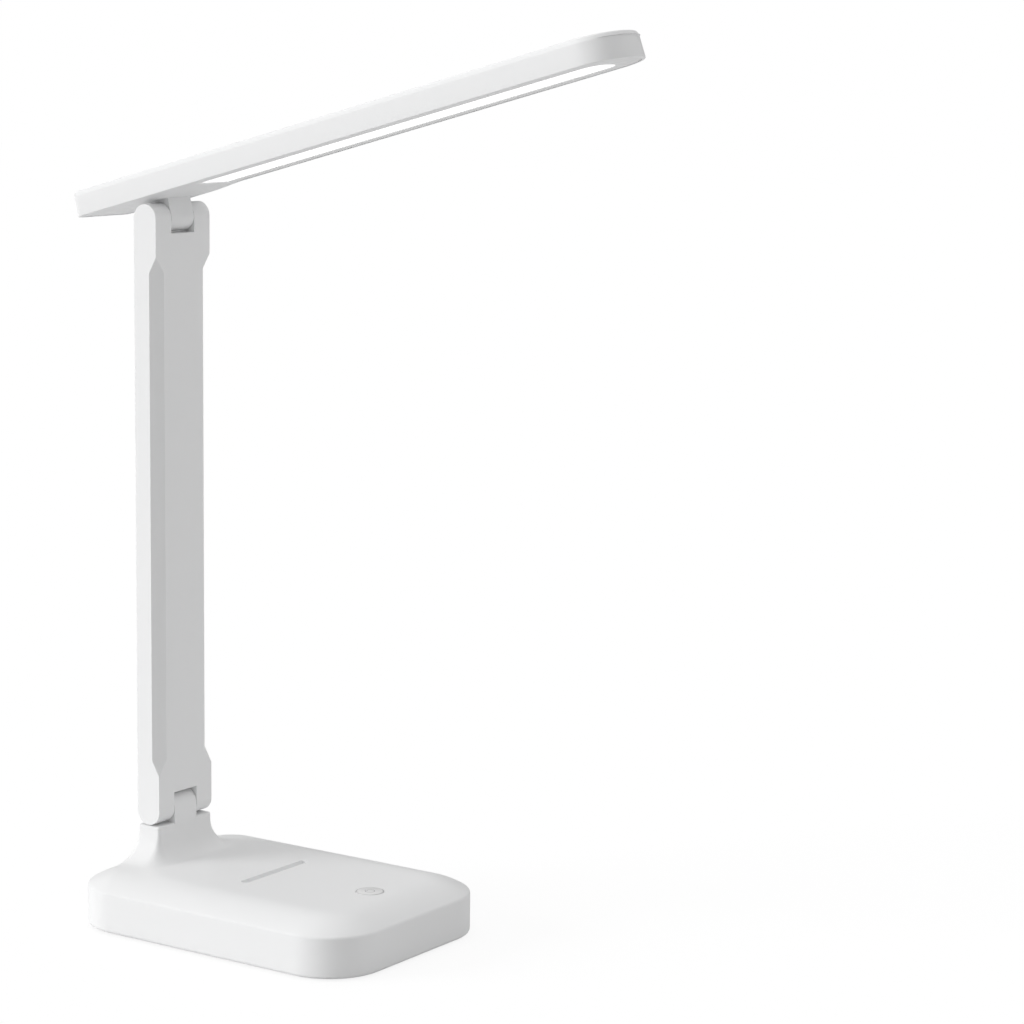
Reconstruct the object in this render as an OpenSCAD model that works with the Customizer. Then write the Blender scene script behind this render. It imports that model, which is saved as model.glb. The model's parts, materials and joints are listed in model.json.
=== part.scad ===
// Folding desk lamp: a weighted base with a pedestal hinge, a flat upright arm and a flat
// light bar that tilts at the arm's top. Millimetres. +X points to the touch key and the
// light bar's free end, +Z up. The origin is the middle of the sole, on the desk.

/* [Base] */
// Length of the base, front to rear
base_l = 158; // [150:1:170]
// Width of the base
base_w = 112; // [108:1:130]
// Radius of the base's corners, seen from above
base_corner_r = 26; // [24:0.5:28]
// Height of the side wall's crisp top edge above the desk
crease_h = 19.2; // [18.6:0.2:22]
// Rise of the domed top above that edge
dome_rise = 6.3; // [6:0.1:7.5]
// Distance from the edge at which the dome turns flat
dome_run = 20; // [16:0.5:20.5]
// Rounding under the side wall
foot_round = 1.8; // [1:0.1:2]
// Thickness of the base's upper shell
base_wall = 2.4; // [2.1:0.1:2.6]
// Thickness of the bottom cover
bottom_t = 2.2; // [2:0.1:2.6]
// Height of the shell's lower edge above the desk
body_lift = 0.8; // [0.6:0.1:1]
// Thickness of the rubber sole
sole_t = 1.4; // [1.2:0.1:1.6]
// Distance from the base's edge to the sole's edge
sole_inset = 8; // [7:0.5:10]

/* [Rest groove and touch key] */
// Length of the rest groove across the top
groove_l = 45; // [36:1:56]
// Width of the rest groove
groove_w = 4; // [3:0.1:4.5]
// Depth of the rest groove
groove_d = 1.8; // [1.2:0.1:2.2]
// Distance from the base's front edge to the groove's middle
groove_setback = 81.5; // [78:0.5:86]
// Radius of the touch key's face
key_r = 6.2; // [5:0.1:7]
// Distance from the base's front edge to the key's middle
key_setback = 27.5; // [26:0.5:32]
// Height of the key's face above the dome
key_proud = 0.15; // [0.05:0.05:0.4]

/* [Pedestal] */
// Distance from the base's rear edge to the lower hinge axis
hinge_setback = 17.9; // [16.5:0.1:20]
// Height of the lower hinge axis above the desk
hinge_h = 48.2; // [47.5:0.1:54]
// Height of the coved foot of the pedestal
cove_h = 13; // [10:0.5:14]
// Reach of the cove at the front
cove_front = 10; // [6:0.5:11]
// Reach of the cove at each side
cove_side = 14; // [8:0.5:18]
// Reach of the cove at the rear
cove_rear = 9.5; // [6:0.5:9.5]
// Corner radius of the pedestal
pedestal_r = 1.5; // [1:0.1:2.5]
// Gap between the arm's round foot and the pedestal's shoulders
shoulder_gap = 0.5; // [0.3:0.1:1]

/* [Arm] */
// Distance between the two hinge axes
arm_len = 270; // [262:1:300]
// Thickness of the arm
arm_t = 12.7; // [12:0.1:13.2]
// Width of the arm
arm_w = 37; // [36:0.5:42]
// Width of the slot at each end of the arm
slot_w = 15.8; // [15:0.1:16.5]
// Depth of the lower slot beyond its hinge axis
lower_slot = 7.7; // [7.4:0.1:9]
// Depth of the upper slot beyond its hinge axis
upper_slot = 6.9; // [6.7:0.1:9]
// Thickness of the arm's front wall
arm_wall = 2.2; // [1.8:0.1:2.6]
// Depth of the long chamfers into the arm's thickness
chamfer_x = 4; // [2:0.1:4.5]
// Depth of the long chamfers across the arm's width
chamfer_y = 5.4; // [3:0.1:5.6]
// Distance from each hinge axis to where its chamfers start
chamfer_start = 17; // [14:0.5:24]
// Length over which a chamfer grows to its full depth
chamfer_fade = 7; // [4:0.5:12]
// Thickness of the arm's rear cover
rear_cover_t = 1.6; // [1.2:0.1:2]

/* [Light bar] */
// Reach of the light bar in front of the upper hinge axis
head_front = 256; // [240:1:258]
// Reach of the light bar behind the upper hinge axis
head_rear = 41; // [38:1:52]
// Width of the light bar
head_w = 37; // [36:0.5:40]
// Thickness of the light bar
head_t = 11.4; // [11:0.1:11.8]
// Height of its underside above the hinge axis, square to the bar
head_drop = 9.3; // [9:0.1:9.6]
// Tilt of the light bar above level when stored
head_tilt = 15; // [0:1:45]
// Wall of the light bar's upper shell
head_wall = 1.85; // [1.6:0.05:2]
// Rounding along the bar's upper edge
head_top_r = 2.5; // [1:0.1:2.6]
// Rounding along the bar's lower edge
head_edge_r = 1; // [0.5:0.1:1.4]
// Corner radius of the bar's rear end, seen from above
head_rear_r = 5; // [4:0.5:8]
// Thickness of the lower frame around the diffuser
frame_t = 1.8; // [1.5:0.1:2]
// Width of the lit window
window_w = 20; // [18:0.5:20.5]
// Distance from the hinge axis to the window's rear edge
window_rear = 27.4; // [26:0.2:34]
// Distance from the bar's front end to the window's front edge
window_margin = 14; // [13.5:0.5:20]
// Corner radius of the window's front end
window_r = 8; // [4:0.5:8.5]
// Depth of the diffuser's face inside the frame
diffuser_recess = 0.35; // [0.2:0.05:0.6]
// Reach of the neck's flare in front of the axis
neck_front = 30; // [24:0.5:32]
// Reach of the neck's flare behind the axis
neck_rear = 14; // [12:0.5:18]

/* [Hinges] */
// Radius of the steel hinge pins
pin_r = 2.5; // [2.2:0.1:2.6]
// Wall of the arm left over a pin's blind end
pin_cover = 3; // [2.5:0.1:4]
// Radius of the pins' heads
pin_head_r = 3.8; // [3.4:0.1:3.9]
// Thickness of the pins' heads
pin_head_t = 1.2; // [1:0.1:1.4]
// Radius of the friction washers
washer_r = 5; // [4.4:0.1:5.2]
// Thickness of the friction washers
washer_t = 0.8; // [0.6:0.1:0.9]
// Thickness of the caps over the pins' heads
cap_t = 1.2; // [1:0.1:1.5]
// Radius of the caps over the pins' heads
cap_r = 4.3; // [4.1:0.1:4.6]

/* [Inside the base] */
// Radius of the battery cell
cell_r = 9.2; // [8.9:0.1:9.3]
// Length of the battery cell
cell_l = 65; // [60:1:70]
// Distance from the base's rear edge to the cell's axis
cell_setback = 66; // [65:0.5:68]
// Space between the cell and the counterweight
weight_gap = 11.3; // [4:0.1:14]
// Distance from the base's front edge to the counterweight
weight_setback = 8.5; // [8:0.5:14]
// Space between the counterweight and the screw bosses beside it
weight_side_gap = 0.8; // [0.5:0.1:6]
// Thickness of the counterweight
weight_t = 7; // [5:0.1:8]
// Length of the main circuit board
board_l = 42; // [40:1:43]
// Width of the main circuit board
board_w = 60; // [54:1:66]
// Thickness of the circuit boards
board_t = 1.6; // [1.2:0.1:1.8]
// Side of the touch circuit board
touch_board_w = 24; // [24:1:28]
// Radius of the self-tapping screws
screw_r = 1.4; // [1.2:0.1:1.5]

/* [Inside the light bar] */
// Number of light chips in each of the two rows
led_n = 16; // [10:1:20]
// Distance of each row from the bar's middle
led_row_y = 5; // [4:0.5:6]
// Width of the light board
led_board_w = 30; // [29.4:0.1:30.2]

/* [Fits] */
// Radial clearance of the hinge pins where they turn
pin_gap = 0.05; // [0.03:0.01:0.08]
// Clearance between parts that move past each other
move_gap = 0.3; // [0.25:0.05:0.4]
// Clearance around panels that are set into a shell
panel_gap = 0.15; // [0.1:0.05:0.2]

/* [Hidden] */
$fn = 64;

shell_white = "#f2f2f0";
frame_grey = "#e4e4e2";
steel_grey = "#b8bcc0";
board_green = "#2f6b4a";
lead_white = "#e8e8e8";

// Heights in the base
plateau_h = crease_h + dome_rise;
ceiling_h = plateau_h - base_wall;
floor_h = body_lift + bottom_t;
hinge_x = hinge_setback - base_l / 2;
knuckle_r = arm_t / 2;
shoulder_h = hinge_h - knuckle_r - shoulder_gap;
knuckle_w = slot_w - 2 * move_gap;
key_x = base_l / 2 - key_setback;
groove_x = base_l / 2 - groove_setback;
cell_x = cell_setback - base_l / 2;
inner_l = base_l - 2 * base_wall;
inner_w = base_w - 2 * base_wall;
inner_r = base_corner_r - base_wall;
over = 1;

// Bosses and screws in the base
boss_r = 3.2;
boss_inset_x = 20.5;
boss_inset_y = 13;
pad_r = boss_r + 1;
pad_h = 2;
head_r = 2.6;
base_screw_l = 9;
board_lift = 4;
board_rear_gap = 2;
board_x0 = -inner_l / 2 + board_rear_gap;
board_z = floor_h + board_lift;
board_hole_inset = 3.5;
boss_sink = 0.3;
screw_head_t = 1.3;
thread_gap = 1;
board_edge = 8;
board_parts_inset = 14;
board_parts_x = board_x0 + board_parts_inset;
coil_w = 7;
coil_h = 4;
chip_w = 5;
chip_t = 1;
capacitor_r = 3;
capacitor_h = 6;
weight_x0 = cell_x + cell_r + weight_gap;
weight_x1 = base_l / 2 - weight_setback;
weight_w = base_w - 2 * (boss_inset_y + pad_r + weight_side_gap);
weight_post_r = 3;
weight_head_r = 4.5;
weight_hole_gap = 0.2;
weight_hole_inset = 15;

// The cell's saddles, cap and wires
saddle_t = 4;
cell_cap_r = 3;
cell_cap_t = 1;
wire_r = 0.7;
wire_out = 3;
wire_end_inset = 6;
wire_end_side = 10;
wire_end_x = board_x0 + board_l - wire_end_inset;
wire_end_y = board_w / 2 - wire_end_side;

// Socket, key and touch board
port_l = 7.3;
port_w = 8.9;
port_h = 3.2;
port_wall = 0.35;
port_recess = 1.2;
port_z = board_z + board_t + port_h / 2;
port_back_t = 1;
tongue_w = 4.9;
tongue_t = 0.7;
key_flange = 1.4;
key_flange_t = 0.8;
foam_r = 4;
touch_drop = 5.1;
touch_boss_r = 2.2;
touch_boss_at = key_r + key_flange + touch_boss_r + move_gap;
touch_board_z = ceiling_h - key_flange_t - touch_drop - board_t;
touch_screw_l = 5;
touch_head_r = 1.6;
touch_head_t = 1;
blind_gap = 0.5;
touch_lead_w = 4;
touch_lead_t = 0.8;
touch_lead_inset = 1;
touch_lead_gap = 4;
touch_lead_run = 18;

// Channels and leads
channel_w = 8;
channel_t = 2.2;
channel_wall = 0.6;
channel_x = -pin_r - pin_gap - channel_wall - channel_t / 2;
lead_w = 7;
lead_t = 1.4;
lead_past = 2;

// The arm's hollow and its cover
web_t = 2.5;
ledge = 2;
hollow_half_w = 12;
hollow_front = arm_t / 2 - arm_wall;
hollow_z0 = lower_slot + web_t + ledge;
hollow_z1 = arm_len - upper_slot - web_t - ledge;
slice = 0.02;

// The light bar
head_top = head_drop + head_t;
frame_w = head_w - 2 * head_wall - 2 * panel_gap;
nose_flat = 1;
head_nose_r = (head_w - nose_flat) / 2;
flange = 2;
flange_t = 1;
frame_top = head_drop + frame_t;
lip_t = 1.2;
lip_h = 3;
led_l = 3.5;
led_w = 2.8;
led_t = 0.8;
led_post_h = 3.1;
led_board_z = frame_top + led_post_h;
led_post_r = 1.55;
led_post_y = 13.7;
led_screw_r = 0.8;
led_screw_l = 4;
led_head_r = 1.4;
led_head_t = 1;
window_front = head_front - window_margin;
led_board_past_rear = 3.4;
led_board_past_front = 3;
led_board_rear = window_rear - led_board_past_rear;
led_board_front = window_front + led_board_past_front;
led_lead_gap = 1.5;
led_lead_land = 10;
led_screw_at = [for (f = [0.08, 0.5, 0.92]) led_board_rear + f * (led_board_front - led_board_rear)];

// Points on an arc about [cx, cy]
function arc(cx, cy, r, a0, a1, n) =
    [for (i = [0:n]) let (a = a0 + (a1 - a0) * i / n) [cx + r * cos(a), cy + r * sin(a)]];

// An edge profile is a list of [distance in from the outline, height], from the bottom up
function round_below(z, r) = arc(r, z + r, r, 270, 180, 4);
function round_above(z, r) = arc(r, z - r, r, 180, 90, 5);
function dome(z, rise, run, n) =
    [for (i = [0:n]) let (u = i / n) [run * u, z + rise * (1 - (1 - u) * (1 - u))]];
function section(span, edge) =
    concat([for (p = edge) [span / 2 - p[0], p[1]]],
           [for (i = [len(edge) - 1:-1:0]) [edge[i][0] - span / 2, edge[i][1]]]);

// A rounded plate whose edge has the same profile all round
module plate(l, w, r, edge) {
    rotate([90, 0, 90]) linear_extrude(l - 2 * r, center = true) polygon(section(w, edge));
    rotate([90, 0, 0]) linear_extrude(w - 2 * r, center = true) polygon(section(l, edge));
    side = concat([for (p = edge) [r - p[0], p[1]]],
                  [[0, edge[len(edge) - 1][1]], [0, edge[0][1]]]);
    for (k = [0:3]) {
        sx = (k == 0 || k == 3) ? 1 : -1;
        sy = k < 2 ? 1 : -1;
        translate([sx * (l / 2 - r), sy * (w / 2 - r), 0]) rotate(90 * k)
            rotate_extrude(angle = 90) polygon(side);
    }
}

module flat_plate(l, w, r, z0, z1) {
    plate(l, w, r, [[0, z0], [0, z1]]);
}

// A bar with square-cornered rear and round nose, both with the same edge profile
module bar(rear, front, w, rear_r, nose_r, edge) {
    overlap = 2 * nose_r;
    l = rear + front;
    middle = (front - rear) / 2;
    translate([middle - overlap / 2, 0, 0]) plate(l - overlap, w, rear_r, edge);
    translate([front - l / 4 - nose_r, 0, 0]) plate(l / 2 + 2 * nose_r, w, nose_r, edge);
}

module box(x0, x1, w, z0, z1) {
    translate([x0, -w / 2, z0]) cube([x1 - x0, w, z1 - z0]);
}

module post(x, y, r, z0, z1) {
    translate([x, y, z0]) cylinder(r = r, h = z1 - z0);
}

// A bar along Y with round ends of radius r, l long over them
module stadium(l, r, z0, z1) {
    for (s = [-1, 1]) post(0, s * (l / 2 - r), r, z0, z1);
    translate([-r, r - l / 2, z0]) cube([2 * r, l - 2 * r, z1 - z0]);
}

// A rod along Y at [x, z]
module rod(x, z, r, y0, y1) {
    translate([x, y1, z]) rotate([90, 0, 0]) cylinder(r = r, h = y1 - y0);
}

// A screw that points down from its head's seat at z, or up when up = 1
module screw(x, y, z, r, hr, ht, l, up = 0) {
    translate([x, y, z]) mirror([0, 0, up]) {
        cylinder(r = hr, h = ht);
        translate([0, 0, -l]) cylinder(r = r, h = l);
    }
}

module at_base_bosses() {
    for (sx = [-1, 1], sy = [-1, 1])
        translate([sx * (base_l / 2 - boss_inset_x), sy * (base_w / 2 - boss_inset_y), 0]) children();
}

module at_board_holes() {
    for (u = [0, 1], sy = [-1, 1])
        translate([board_x0 + board_hole_inset + u * (board_l - 2 * board_hole_inset),
                   sy * (board_w / 2 - board_hole_inset), 0]) children();
}

module at_weight_posts() {
    for (x = [weight_x0 + weight_hole_inset, weight_x1 - weight_hole_inset])
        translate([x, 0, 0]) children();
}

module at_touch_bosses() {
    for (s = [-1, 1]) translate([key_x, s * touch_boss_at, 0]) children();
}

module at_lower() {
    translate([hinge_x, 0, hinge_h]) children();
}

module at_upper() {
    translate([hinge_x, 0, hinge_h + arm_len]) children();
}

module at_head() {
    at_upper() rotate([0, -head_tilt, 0]) children();
}

// Height of the domed top at a point
function dome_at(x, y) =
    let (qx = abs(x) - base_l / 2 + base_corner_r,
         qy = abs(y) - base_w / 2 + base_corner_r,
         out = (qx > 0 && qy > 0) ? norm([qx, qy]) : max(qx, qy),
         u = min(max(base_corner_r - out, 0) / dome_run, 1))
    crease_h + dome_rise * (1 - (1 - u) * (1 - u));

// The pedestal's outline, grown by a share of each cove's reach
function pedestal_ring(grow) =
    [for (k = [0:3], i = [0:7])
        let (a = 90 * k + 90 * i / 7,
             sx = (k == 0 || k == 3) ? 1 : -1,
             sy = k < 2 ? 1 : -1,
             rx = pedestal_r + grow * (sx > 0 ? cove_front : cove_rear),
             ry = pedestal_r + grow * cove_side)
        [hinge_x + sx * (arm_t / 2 - pedestal_r) + rx * cos(a),
         sy * (arm_w / 2 - pedestal_r) + ry * sin(a)]];

cove_n = 8;
cove_sink = 0.4;
root_depth = 6;
root_h = crease_h - root_depth;
pedestal_rings = concat(
    [[for (p = pedestal_ring(0)) [p[0], p[1], shoulder_h]]],
    [for (i = [0:cove_n]) let (a = 90 * i / cove_n)
        [for (p = pedestal_ring(1 - cos(a))) let (foot_h = dome_at(p[0], p[1]) - cove_sink)
            [p[0], p[1], (plateau_h + cove_h) * (1 - sin(a)) + foot_h * sin(a)]]],
    [[for (p = pedestal_ring(1)) [p[0], p[1], root_h]]]);

module pedestal_block() {
    n = len(pedestal_rings[0]);
    m = len(pedestal_rings);
    polyhedron(
        points = [for (ring = pedestal_rings) for (p = ring) p],
        faces = concat(
            [[for (j = [n - 1:-1:0]) j]],
            [[for (j = [0:n - 1]) (m - 1) * n + j]],
            [for (i = [0:m - 2], j = [0:n - 1])
                let (a = i * n + j, b = i * n + (j + 1) % n)
                each [[a, b, b + n], [a, b + n, a + n]]]));
}

// The hinge knuckle's solid form about an axis at the origin, joined to what lies at z = reach
module knuckle(reach) {
    rod(0, 0, knuckle_r, -knuckle_w / 2, knuckle_w / 2);
    box(-knuckle_r, knuckle_r, knuckle_w, min(reach, 0), max(reach, 0));
}

// What is taken out of a knuckle: the pin's bore, the washers' seats and the lead's channel
module knuckle_cuts(channel_end) {
    seat_y = slot_w / 2 - washer_t - pin_gap;
    open_end = -sign(channel_end) * knuckle_r;
    rod(0, 0, pin_r + pin_gap, -arm_w, arm_w);
    for (s = [0, 1]) mirror([0, s, 0]) rod(0, 0, washer_r + move_gap, seat_y, arm_w);
    box(channel_x - channel_t / 2, channel_x + channel_t / 2, channel_w,
        min(channel_end, open_end), max(channel_end, open_end));
}

module base_top_cover() {
    color(shell_white) {
        difference() {
            union() {
                plate(base_l, base_w, base_corner_r,
                      concat(round_below(body_lift, foot_round), dome(crease_h, dome_rise, dome_run, 6)));
                pedestal_block();
            }
            // The hollow of the base
            plate(inner_l, inner_w, inner_r,
                  concat([[0, -over]], dome(crease_h - base_wall, dome_rise, dome_run, 6)));
            // The hollow of the pedestal
            box(hinge_x - knuckle_r + base_wall, hinge_x + knuckle_r - base_wall, arm_w - 2 * base_wall,
                root_h, shoulder_h - base_wall);
            // Key hole, rest groove and socket opening
            post(key_x, 0, key_r + panel_gap, floor_h, plateau_h + over);
            post(key_x, 0, key_r + key_flange + panel_gap, floor_h, ceiling_h);
            translate([groove_x, 0, 0])
                stadium(groove_l, groove_w / 2, plateau_h - groove_d, plateau_h + over);
            translate([-base_l / 2, 0, port_z]) rotate([0, 90, 0])
                stadium(port_w + 2 * panel_gap, port_h / 2 + panel_gap, -over, base_wall + over);
            at_lower() knuckle_cuts(root_h - hinge_h);
        }
        difference() {
            at_lower() knuckle(shoulder_h - hinge_h - over / 2);
            at_lower() knuckle_cuts(root_h - hinge_h);
        }
        // Backing under the groove
        box(groove_x - groove_w, groove_x + groove_w, groove_l + groove_w,
            ceiling_h - groove_d / 2, ceiling_h);
        // Screw bosses
        at_base_bosses() difference() {
            post(0, 0, boss_r, floor_h + pad_h, ceiling_h - boss_sink);
            post(0, 0, screw_r, floor_h, floor_h + base_screw_l + thread_gap);
        }
        at_touch_bosses() difference() {
            post(0, 0, touch_boss_r, touch_board_z + board_t, ceiling_h);
            post(0, 0, led_screw_r, touch_board_z, touch_board_z + touch_screw_l + blind_gap);
        }
    }
}

module base_bottom_cover() {
    color(shell_white) difference() {
        union() {
            flat_plate(inner_l - 2 * panel_gap, inner_w - 2 * panel_gap, inner_r - panel_gap,
                       body_lift, floor_h);
            at_base_bosses() post(0, 0, pad_r, floor_h - over, floor_h + pad_h);
            at_board_holes() post(0, 0, boss_r, floor_h - over, board_z);
            at_weight_posts() post(0, 0, weight_post_r, floor_h - over, floor_h + weight_t);
            // Saddles that hold the cell
            for (s = [-1, 1]) difference() {
                translate([cell_x - cell_r, s * cell_l / 3 - saddle_t / 2, floor_h - over])
                    cube([2 * cell_r, saddle_t, cell_r + over]);
                rod(cell_x, floor_h + cell_r, cell_r, -cell_l, cell_l);
            }
        }
        flat_plate(base_l - 2 * sole_inset + 2 * panel_gap, base_w - 2 * sole_inset + 2 * panel_gap,
                   base_corner_r - sole_inset + panel_gap, 0, sole_t);
        at_base_bosses() {
            post(0, 0, head_r + panel_gap, 0, sole_t + screw_head_t);
            post(0, 0, screw_r + panel_gap, 0, floor_h + pad_h + over);
        }
        at_board_holes() post(0, 0, screw_r, floor_h, board_z + over);
        at_weight_posts() post(0, 0, screw_r, floor_h, floor_h + weight_t + over);
    }
}

module sole_pad() {
    color("#d9d9d7")
        flat_plate(base_l - 2 * sole_inset, base_w - 2 * sole_inset, base_corner_r - sole_inset, 0, sole_t);
}

module counterweight() {
    color(steel_grey) difference() {
        box(weight_x0, weight_x1, weight_w, floor_h, floor_h + weight_t);
        at_weight_posts() post(0, 0, weight_post_r + weight_hole_gap, 0, plateau_h);
    }
}

module weight_screws() {
    color(steel_grey) at_weight_posts()
        screw(0, 0, floor_h + weight_t, screw_r, weight_head_r, screw_head_t, weight_t - thread_gap);
}

module battery_cell() {
    color("#3f7fb5") {
        rod(cell_x, floor_h + cell_r, cell_r, -cell_l / 2, cell_l / 2 - cell_cap_t);
        rod(cell_x, floor_h + cell_r, cell_cap_r, cell_l / 2 - cell_cap_t, cell_l / 2);
    }
}

// A wire along straight runs between the points
module wire(points) {
    for (i = [0:len(points) - 2]) {
        a = points[i];
        d = points[i + 1] - a;
        translate(a) rotate([0, acos(d[2] / norm(d)), atan2(d[1], d[0])]) cylinder(r = wire_r, h = norm(d));
    }
    for (i = [1:len(points) - 2]) translate(points[i]) sphere(r = wire_r);
}

module battery_leads() {
    z = floor_h + cell_r;
    color("#b03030") for (s = [-1, 1]) {
        end = s * cell_l / 2;
        bend = end + s * wire_out;
        wire([[cell_x, end, z], [cell_x, bend, z], [wire_end_x, bend, z],
              [wire_end_x, s * wire_end_y, z], [wire_end_x, s * wire_end_y, board_z + board_t]]);
    }
}

module main_board() {
    color(board_green) difference() {
        translate([board_x0, -board_w / 2, board_z]) cube([board_l, board_w, board_t]);
        at_board_holes() post(0, 0, screw_r + panel_gap, 0, plateau_h);
    }
}

module board_components() {
    top = board_z + board_t;
    color("#2b2b2e") {
        // Charging coil, standing capacitor and two chips
        translate([board_parts_x, board_edge - board_w / 2, top]) cube([coil_w, coil_w, coil_h]);
        post(board_parts_x + capacitor_r, board_w / 2 - board_edge - capacitor_r, capacitor_r,
             top, top + capacitor_h);
        translate([board_parts_x, board_w / 2 - board_edge - 2 * capacitor_r - 2 * chip_w, top])
            cube([chip_w, chip_w, chip_t]);
        translate([board_x0 + board_l - board_edge - chip_w, -chip_w / 2, top])
            cube([chip_w, chip_w, chip_t]);
    }
}

module usb_port() {
    x0 = -base_l / 2 + port_recess;
    color(steel_grey) translate([x0, 0, port_z]) rotate([0, 90, 0]) difference() {
        stadium(port_w, port_h / 2, 0, port_l);
        stadium(port_w - 2 * port_wall, port_h / 2 - port_wall, -over, port_l - port_back_t);
    }
    color("#2b2b2e") box(x0 + port_back_t, x0 + port_l - port_back_t, tongue_w,
                         port_z - tongue_t / 2, port_z + tongue_t / 2);
}

module board_screws() {
    color(steel_grey) at_board_holes()
        screw(0, 0, board_z + board_t, screw_r, head_r, screw_head_t, board_lift + board_t - thread_gap);
}

module touch_key() {
    color("#dcdcda") {
        post(key_x, 0, key_r, ceiling_h - key_flange_t, plateau_h + key_proud);
        post(key_x, 0, key_r + key_flange, ceiling_h - key_flange_t, ceiling_h);
    }
}

module touch_foam() {
    color("#55585c") post(key_x, 0, foam_r, touch_board_z + board_t, ceiling_h - key_flange_t);
}

module touch_board() {
    color(board_green) difference() {
        translate([key_x - touch_board_w / 2, -touch_board_w / 2, touch_board_z])
            cube([touch_board_w, touch_board_w, board_t]);
        at_touch_bosses() post(0, 0, led_screw_r + panel_gap, 0, plateau_h);
    }
}

module touch_board_screws() {
    color(steel_grey) at_touch_bosses()
        screw(0, 0, touch_board_z, led_screw_r, touch_head_r, touch_head_t, touch_screw_l, 1);
}

// A flat lead that runs round the cell's end, from the touch board to the main board
module touch_lead() {
    x0 = board_x0 + board_l - touch_lead_w - touch_lead_inset;
    x1 = key_x - touch_board_w / 2 + touch_lead_inset;
    y0 = touch_board_w / 3;
    y1 = cell_l / 2 + touch_lead_gap;
    y2 = y1 + touch_lead_w - touch_lead_run;
    z0 = touch_board_z - touch_lead_t;
    board_top = board_z + board_t;
    color(lead_white) {
        translate([x1, y0, z0]) cube([touch_lead_w, y1 + touch_lead_w - y0, touch_lead_t]);
        translate([x0, y1, z0]) cube([x1 + touch_lead_w - x0, touch_lead_w, touch_lead_t]);
        translate([x0, y2, z0]) cube([touch_lead_w, touch_lead_run, touch_lead_t]);
        translate([x0, y2, board_top]) cube([touch_lead_w, touch_lead_t, touch_board_z - board_top]);
    }
}

module base_screws() {
    seat_h = sole_t + screw_head_t;
    color(steel_grey) at_base_bosses()
        screw(0, 0, seat_h, screw_r, head_r, screw_head_t, floor_h + base_screw_l - seat_h, 1);
}

module base_lead() {
    x0 = hinge_x + channel_x - lead_t / 2;
    color(lead_white) box(x0, x0 + lead_t, lead_w, board_z + board_t, hinge_h + lead_past);
}

// The arm's outline in its thickness: straight sides and a round end about each hinge axis
module arm_side() {
    rod(0, 0, arm_t / 2, -arm_w / 2, arm_w / 2);
    rod(0, arm_len, arm_t / 2, -arm_w / 2, arm_w / 2);
    box(-arm_t / 2, arm_t / 2, arm_w, 0, arm_len);
}

// What is cut off along the arm's front edge, fading out at both ends
module chamfer_cut() {
    x = arm_t / 2;
    y = arm_w / 2;
    z0 = chamfer_start;
    z1 = arm_len - chamfer_start - slice;
    hull() {
        for (z = [z0 + chamfer_fade, z1 - chamfer_fade])
            translate([0, 0, z]) linear_extrude(slice)
                polygon([[x - chamfer_x * (1 + over / chamfer_y), y + over], [x + over, y + over],
                         [x + over, y - chamfer_y * (1 + over / chamfer_x)]]);
        for (z = [z0, z1]) translate([x, y, z]) cube([over, over, slice]);
    }
}

module arm_shell() {
    color(shell_white) at_lower() difference() {
        arm_side();
        chamfer_cut();
        mirror([0, 1, 0]) chamfer_cut();
        // Slots for the two knuckles
        box(-arm_t, arm_t, slot_w, -arm_t, lower_slot);
        box(-arm_t, arm_t, slot_w, arm_len - upper_slot, arm_len + arm_t);
        // Hollow for the lead, and the rebate of the rear cover
        box(-arm_t, hollow_front, 2 * hollow_half_w, hollow_z0, hollow_z1);
        box(-arm_t, -arm_t / 2 + rear_cover_t, 2 * (hollow_half_w + ledge),
            hollow_z0 - ledge, hollow_z1 + ledge);
        box(hollow_front - channel_t, hollow_front, channel_w, 0, arm_len);
        // Bores of the two pins, with a seat for each head and cap
        for (z = [0, arm_len]) {
            rod(0, z, pin_r, pin_cover - arm_w / 2, arm_w / 2);
            rod(0, z, cap_r, arm_w / 2 - cap_t - pin_head_t, arm_w / 2 + over);
        }
    }
}

module arm_rear_cover() {
    color(shell_white) at_lower()
        box(-arm_t / 2, -arm_t / 2 + rear_cover_t, 2 * (hollow_half_w + ledge - panel_gap),
            hollow_z0 - ledge + panel_gap, hollow_z1 + ledge - panel_gap);
}

module hinge_pin() {
    head_y = arm_w / 2 - cap_t - pin_head_t;
    rod(0, 0, pin_r, pin_cover - arm_w / 2, head_y + pin_head_t);
    rod(0, 0, pin_head_r, head_y, head_y + pin_head_t);
}

module friction_washers() {
    for (s = [0, 1]) mirror([0, s, 0]) difference() {
        rod(0, 0, washer_r, slot_w / 2 - washer_t, slot_w / 2);
        rod(0, 0, pin_r, 0, slot_w);
    }
}

module lower_hinge_pin() { color(steel_grey) at_lower() hinge_pin(); }
module upper_hinge_pin() { color(steel_grey) at_upper() hinge_pin(); }
module lower_friction_washers() { color(steel_grey) at_lower() friction_washers(); }
module upper_friction_washers() { color(steel_grey) at_upper() friction_washers(); }

module hinge_caps() {
    color(shell_white) for (z = [0, arm_len])
        at_lower() rod(0, z, cap_r - panel_gap / 2, arm_w / 2 - cap_t, arm_w / 2);
}

module arm_lead() {
    color(lead_white) at_lower()
        box(hollow_front - lead_t, hollow_front, lead_w,
            lower_slot + move_gap, arm_len - upper_slot - move_gap);
}

function head_edge() = concat(round_below(head_drop, head_edge_r), round_above(head_top, head_top_r));

module head_top_shell() {
    color(shell_white) at_head() difference() {
        bar(head_rear, head_front, head_w, head_rear_r, head_nose_r, head_edge());
        bar(head_rear - head_wall, head_front - head_wall, head_w - 2 * head_wall,
            head_rear_r - head_wall, head_nose_r - head_wall,
            [[0, head_drop - over], [0, head_top - head_wall]]);
    }
}

// The lower frame's outline, drawn in by d
module frame_outline(d, z0, z1) {
    inset = head_wall + panel_gap + d;
    bar(head_rear - inset, head_front - inset, head_w - 2 * inset,
        head_rear_r - inset, head_nose_r - inset, [[0, z0], [0, z1]]);
}

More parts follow.
